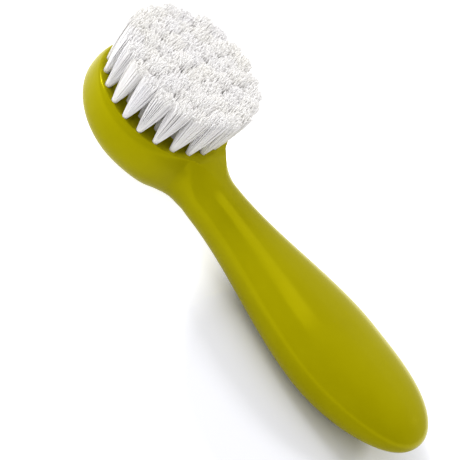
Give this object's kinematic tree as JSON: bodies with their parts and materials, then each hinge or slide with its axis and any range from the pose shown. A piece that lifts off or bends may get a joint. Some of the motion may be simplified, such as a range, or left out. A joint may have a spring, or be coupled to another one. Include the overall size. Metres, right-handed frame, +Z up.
{
  "type": "vegetable brush",
  "caption": "Vegetable scrubbing brush with a round head of stiff bristle tufts on a smooth, contoured plastic handle.",
  "frame": {"origin": "under the middle of the brush's bounding box, on the surface that it lies on", "axes": "+X along the handle towards its rounded end, +Z up out of the bristle face, Y across the handle"},
  "size_m": [0.176, 0.0552, 0.0424],
  "materials": {
    "moulded_body": "smooth glossy olive-green moulded plastic",
    "nylon_bristle": "white nylon filaments with a soft sheen",
    "anchor_wire": "flat drawn wire"
  },
  "bodies": {
    "root": {"brush_body": "moulded_body", "tuft_core_01": "nylon_bristle", "tuft_core_02": "nylon_bristle", "tuft_core_03": "nylon_bristle", "tuft_core_04": "nylon_bristle", "tuft_inner_01": "nylon_bristle", "tuft_inner_02": "nylon_bristle", "tuft_inner_03": "nylon_bristle", "tuft_inner_04": "nylon_bristle", "tuft_inner_05": "nylon_bristle", "tuft_inner_06": "nylon_bristle", "tuft_inner_07": "nylon_bristle", "tuft_inner_08": "nylon_bristle", "tuft_inner_09": "nylon_bristle", "tuft_inner_10": "nylon_bristle", "tuft_middle_01": "nylon_bristle", "tuft_middle_02": "nylon_bristle", "tuft_middle_03": "nylon_bristle", "tuft_middle_04": "nylon_bristle", "tuft_middle_05": "nylon_bristle", "tuft_middle_06": "nylon_bristle", "tuft_middle_07": "nylon_bristle", "tuft_middle_08": "nylon_bristle", "tuft_middle_09": "nylon_bristle", "tuft_middle_10": "nylon_bristle", "tuft_middle_11": "nylon_bristle", "tuft_middle_12": "nylon_bristle", "tuft_middle_13": "nylon_bristle", "tuft_middle_14": "nylon_bristle", "tuft_middle_15": "nylon_bristle", "tuft_middle_16": "nylon_bristle", "tuft_outer_01": "nylon_bristle", "tuft_outer_02": "nylon_bristle", "tuft_outer_03": "nylon_bristle", "tuft_outer_04": "nylon_bristle", "tuft_outer_05": "nylon_bristle", "tuft_outer_06": "nylon_bristle", "tuft_outer_07": "nylon_bristle", "tuft_outer_08": "nylon_bristle", "tuft_outer_09": "nylon_bristle", "tuft_outer_10": "nylon_bristle", "tuft_outer_11": "nylon_bristle", "tuft_outer_12": "nylon_bristle", "tuft_outer_13": "nylon_bristle", "tuft_outer_14": "nylon_bristle", "tuft_outer_15": "nylon_bristle", "tuft_outer_16": "nylon_bristle", "tuft_outer_17": "nylon_bristle", "tuft_outer_18": "nylon_bristle", "tuft_outer_19": "nylon_bristle", "tuft_outer_20": "nylon_bristle", "tuft_outer_21": "nylon_bristle", "tuft_outer_22": "nylon_bristle", "anchors_core": "anchor_wire", "anchors_inner": "anchor_wire", "anchors_middle": "anchor_wire", "anchors_outer": "anchor_wire"}
  },
  "joints": []
}
